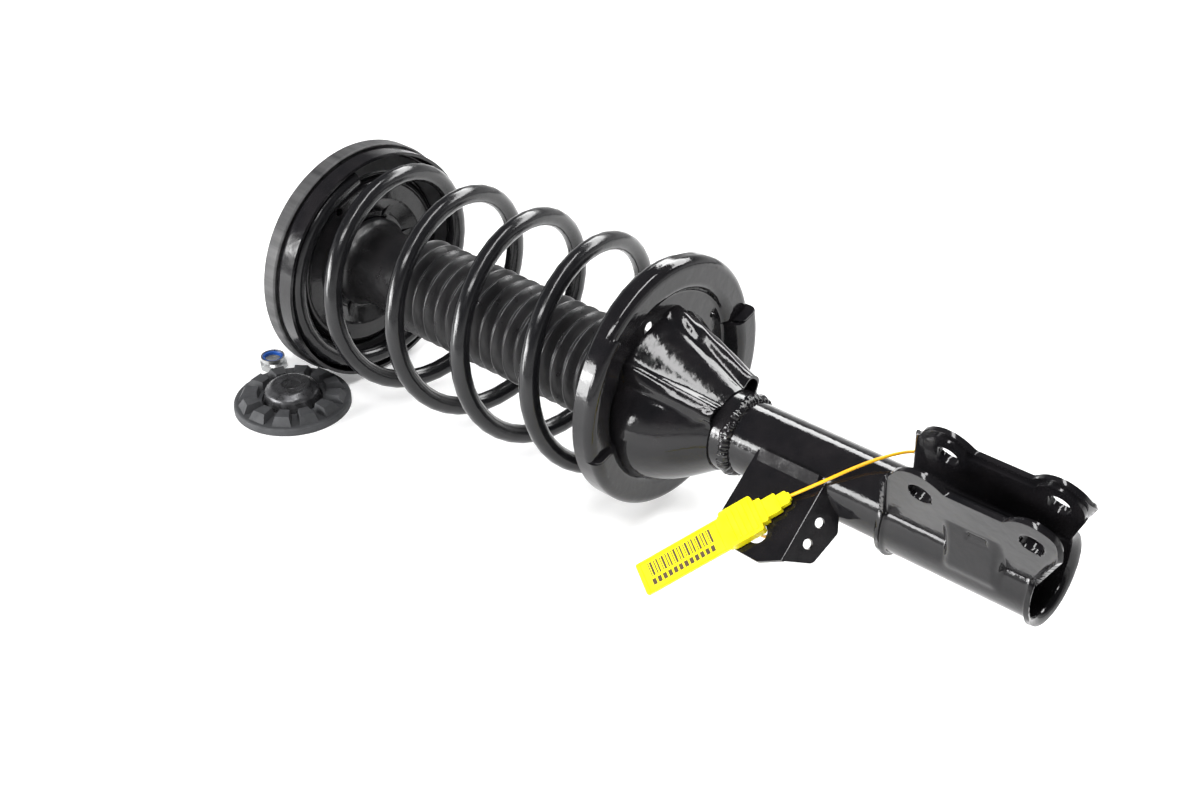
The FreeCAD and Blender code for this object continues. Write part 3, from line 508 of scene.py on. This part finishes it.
def coil_spring():
    """Wire of round section with slightly rounded ends."""
    per_turn, sides = 40, 24
    steps = int((SPRING_LAST_TURN - SPRING_FIRST_TURN) * per_turn)
    turns = [between(i / steps, SPRING_FIRST_TURN, SPRING_LAST_TURN) for i in range(steps + 1)]
    verts, centres = [], []
    for t in turns:
        centre = spring_point(t)
        along = (spring_point(t + 0.002) - spring_point(t - 0.002)).normalized()
        angle = TURN_ZERO + 2 * math.pi * t
        inward = Vector((0, -math.cos(angle), -math.sin(angle)))
        side = along.cross(inward).normalized()
        inward = side.cross(along)
        edge = min(t - SPRING_FIRST_TURN, SPRING_LAST_TURN - t) * 2 * math.pi * SPRING_R
        radius = WIRE_R - 0.9 * max(0.0, 1 - edge / 1.5)
        for k in range(sides):
            a = 2 * math.pi * k / sides
            verts.append(centre + inward * (radius * math.cos(a)) + side * (radius * math.sin(a)))
            centres.append(centre.x)
    faces = grid_faces(len(turns), sides)
    last = (len(turns) - 1) * sides
    faces.append(tuple(range(sides)))
    faces.append(tuple(reversed(range(last, last + sides))))
    spring = piece("spring_coil", verts, faces, "spring_powder_coat", None, "coil_spring")
    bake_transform(spring)


# ---- dust boot ----------------------------------------------------------
BOOT_FOLDS, BOOT_FIRST, BOOT_LAST = 19, 103.0, 325.0
BOOT_SEAM = 216                              # degrees round the strut to the moulding's parting line
# One fold, from groove to groove: share of the pitch, and radius.
FOLD = [(0, 31.2), (0.04, 31.3), (0.08, 31.8), (0.2, 34.0), (0.32, 35.9), (0.42, 37.0), (0.46, 37.4),
        (0.5, 37.5), (0.54, 37.4), (0.58, 37.0), (0.68, 35.9), (0.8, 34.0), (0.92, 31.8), (0.96, 31.3)]


def boot_profile():
    """(x, r) along the boot: flared collar, waisted neck, then folds with flat sides and thin crests."""
    line = [(43.6, 33.6), (43.6, 35.0), (44.4, 35.4), (47.6, 35.5), (49.2, 34.6), (51, 33), (54, 31.4),
            (60, 30.4), (70, 30.0), (80, 30.0), (88, 30.2), (95, 30.6), (99.5, 30.9)]
    pitch = (BOOT_LAST - BOOT_FIRST) / BOOT_FOLDS
    for i in range(BOOT_FOLDS):
        start = BOOT_FIRST + pitch * i
        for share, r in FOLD:
            line.append((start + pitch * share, r))
    line += [(BOOT_LAST, 31.2), (BOOT_LAST + 2, 31.6), (BOOT_LAST + 3, 31.6), (BOOT_LAST + 3, 30.0)]
    return line


def dust_boot():
    """Thin moulded bellows with a parting line."""
    sides = 128
    line = boot_profile()
    verts = []
    for x, r in line:
        for k in range(sides):
            degrees = 360 * k / sides
            off = abs((degrees - BOOT_SEAM + 180) % 360 - 180)
            ridge = 0.5 * max(0.0, 1 - off / 1.6)
            wobble = 0.35 * noise.noise(polar(1.0, degrees, x * 0.05))
            verts.append(polar(r + ridge + wobble, degrees, x))
    faces = grid_faces(len(line), sides)
    boot = piece("boot_bellows", verts, faces, "boot_rubber", None, "dust_boot", smooth=60)
    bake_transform(boot)


# ---- floor, lights and world ---------------------------------------------
def make_floor():
    """Pale floor that glows a little, so that it stays pale far from the lights."""
    reach, level = 6, cad_low.z
    corners = [(-reach, -reach, level), (reach, -reach, level), (reach, reach, level), (-reach, reach, level)]
    mesh = bpy.data.meshes.new("floor")
    mesh.from_pydata(corners, [], [(0, 1, 2, 3)])
    floor = bpy.data.objects.new("floor", mesh)
    bpy.context.collection.objects.link(floor)
    material = bpy.data.materials.new("floor_white")
    material.use_nodes = True
    shader = material.node_tree.nodes["Principled BSDF"]
    shader.inputs["Base Color"].default_value = (0.92, 0.92, 0.92, 1)
    shader.inputs["Roughness"].default_value = 0.8
    shader.inputs["Emission Color"].default_value = (1, 1, 1, 1)
    shader.inputs["Emission Strength"].default_value = 0.22
    mesh.materials.append(material)


def make_light(name, place, aim, size, power):
    """Soft rectangular light that faces a point."""
    data = bpy.data.lights.new(name, "AREA")
    data.shape = "RECTANGLE"
    data.size, data.size_y = size
    data.energy = power
    light = bpy.data.objects.new(name, data)
    bpy.context.collection.objects.link(light)
    light.location = place
    light.rotation_mode = "QUATERNION"
    light.rotation_quaternion = (Vector(aim) - Vector(place)).to_track_quat("-Z", "Y")


def make_world():
    """White low down and darker overhead, as over a white sweep."""
    world = bpy.data.worlds.new("studio")
    world.use_nodes = True
    nodes, links = world.node_tree.nodes, world.node_tree.links
    background = nodes["Background"]
    split = nodes.new("ShaderNodeSeparateXYZ")
    links.new(nodes.new("ShaderNodeTexCoord").outputs["Generated"], split.inputs[0])
    ramp = nodes.new("ShaderNodeValToRGB")
    ramp.color_ramp.elements[0].position = 0.1
    ramp.color_ramp.elements[0].color = (1.0, 1.0, 1.0, 1)
    ramp.color_ramp.elements[1].position = 0.4
    ramp.color_ramp.elements[1].color = (0.07, 0.07, 0.075, 1)
    links.new(split.outputs["Z"], ramp.inputs["Fac"])
    links.new(ramp.outputs["Color"], background.inputs["Color"])
    background.inputs["Strength"].default_value = 1.1
    bpy.context.scene.world = world


seal_strap()
paint_cad_nodes()
round_edges()
coil_spring()
dust_boot()
seat_weld()
knuckle_bracket()
seal_details()
make_floor()
make_light("side", (-0.45, -1.35, 0.42), (0.35, 0, 0), (1.2, 0.34), 22)
make_light("rim", (-0.55, -1.3, 0.14), (0.34, -0.08, 0.03), (0.42, 0.5), 12)
make_light("key", (0.75, -1.0, 1.5), (0.4, 0, 0), (0.9, 0.3), 14)
make_light("back", (0.2, 1.3, 1.0), (0.3, 0, 0), (1.8, 0.5), 34)
make_light("top", (0.5, 0.1, 1.7), (0.3, 0, 0), (1.6, 0.25), 20)
make_world()
bpy.context.scene.view_settings.view_transform = "Standard"
